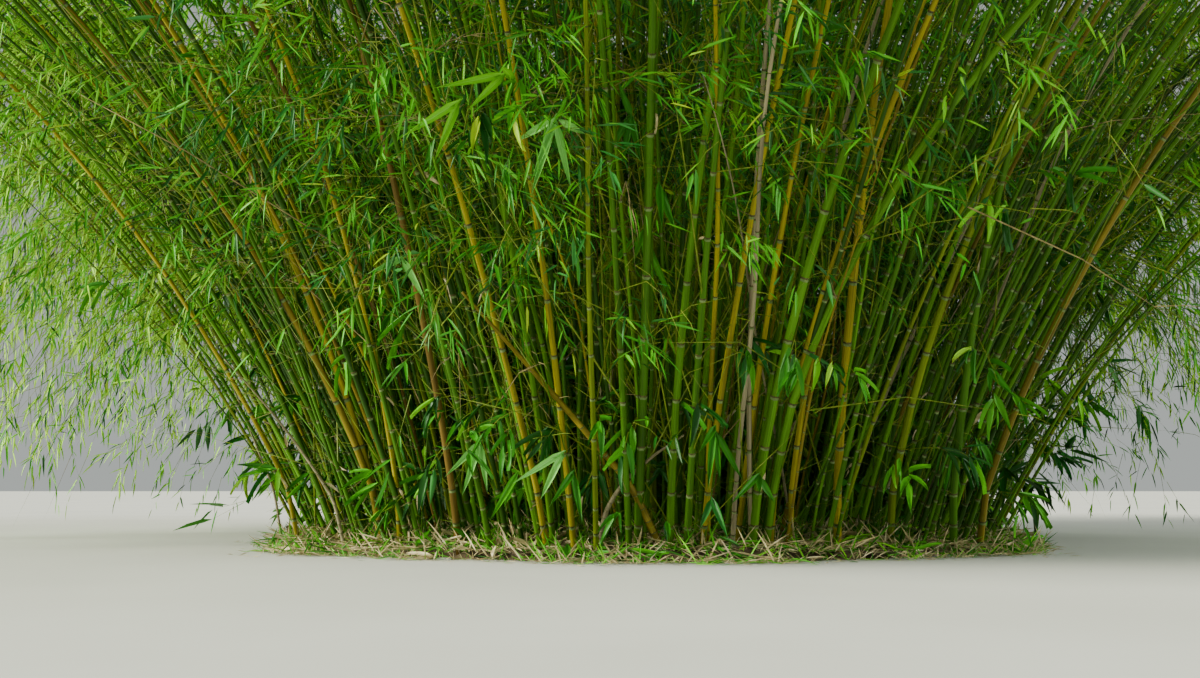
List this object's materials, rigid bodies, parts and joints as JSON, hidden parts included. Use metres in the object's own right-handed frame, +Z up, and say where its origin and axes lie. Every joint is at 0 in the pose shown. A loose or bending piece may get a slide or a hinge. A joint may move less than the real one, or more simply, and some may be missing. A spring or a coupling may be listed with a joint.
{
  "type": "clumping bamboo rooted in the ground",
  "caption": "Large clump of arching bamboo canes that fan out of one low root crown, with leafy tips, shoulders and skirts; fixed in the ground by the flat cut under it.",
  "frame": {"origin": "on the flat cut under the middle of the root crown, at ground level", "axes": "+Z up, -Y the side seen in the picture, +X to the right of that view"},
  "size_m": [11.1812, 10.7172, 7.0396],
  "materials": {
    "canes": "satin green cane with waxy nodes",
    "leaves": "matt leaf"
  },
  "bodies": {
    "root": {"stems_centre": "canes", "stems_inner_1": "canes", "stems_inner_2": "canes", "stems_inner_3": "canes", "stems_inner_4": "canes", "stems_inner_5": "canes", "stems_inner_6": "canes", "stems_outer_1": "canes", "stems_outer_2": "canes", "stems_outer_3": "canes", "stems_outer_4": "canes", "stems_outer_5": "canes", "stems_outer_6": "canes", "stems_outer_7": "canes", "stems_outer_8": "canes", "stems_outer_9": "canes", "stems_outer_10": "canes", "stems_outer_11": "canes", "stems_outer_12": "canes", "foliage_tip_centre": "leaves", "foliage_tip_inner_1": "leaves", "foliage_tip_inner_2": "leaves", "foliage_tip_inner_3": "leaves", "foliage_tip_inner_4": "leaves", "foliage_tip_inner_5": "leaves", "foliage_tip_inner_6": "leaves", "foliage_tip_outer_1": "leaves", "foliage_tip_outer_2": "leaves", "foliage_tip_outer_3": "leaves", "foliage_tip_outer_4": "leaves", "foliage_tip_outer_5": "leaves", "foliage_tip_outer_6": "leaves", "foliage_tip_outer_7": "leaves", "foliage_tip_outer_8": "leaves", "foliage_tip_outer_9": "leaves", "foliage_tip_outer_10": "leaves", "foliage_tip_outer_11": "leaves", "foliage_tip_outer_12": "leaves", "foliage_shoulder_inner_1": "leaves", "foliage_shoulder_inner_2": "leaves", "foliage_shoulder_inner_3": "leaves", "foliage_shoulder_inner_4": "leaves", "foliage_shoulder_inner_5": "leaves", "foliage_shoulder_inner_6": "leaves", "foliage_skirt_outer_1": "leaves", "foliage_skirt_outer_2": "leaves", "foliage_skirt_outer_3": "leaves", "foliage_skirt_outer_4": "leaves", "foliage_skirt_outer_5": "leaves", "foliage_skirt_outer_6": "leaves", "foliage_skirt_outer_7": "leaves", "foliage_skirt_outer_8": "leaves", "foliage_skirt_outer_9": "leaves", "foliage_skirt_outer_10": "leaves", "foliage_skirt_outer_11": "leaves", "foliage_skirt_outer_12": "leaves", "foliage_low_outer_3": "leaves", "foliage_low_outer_6": "leaves", "foliage_low_outer_9": "leaves", "foliage_low_outer_12": "leaves"}
  },
  "joints": []
}
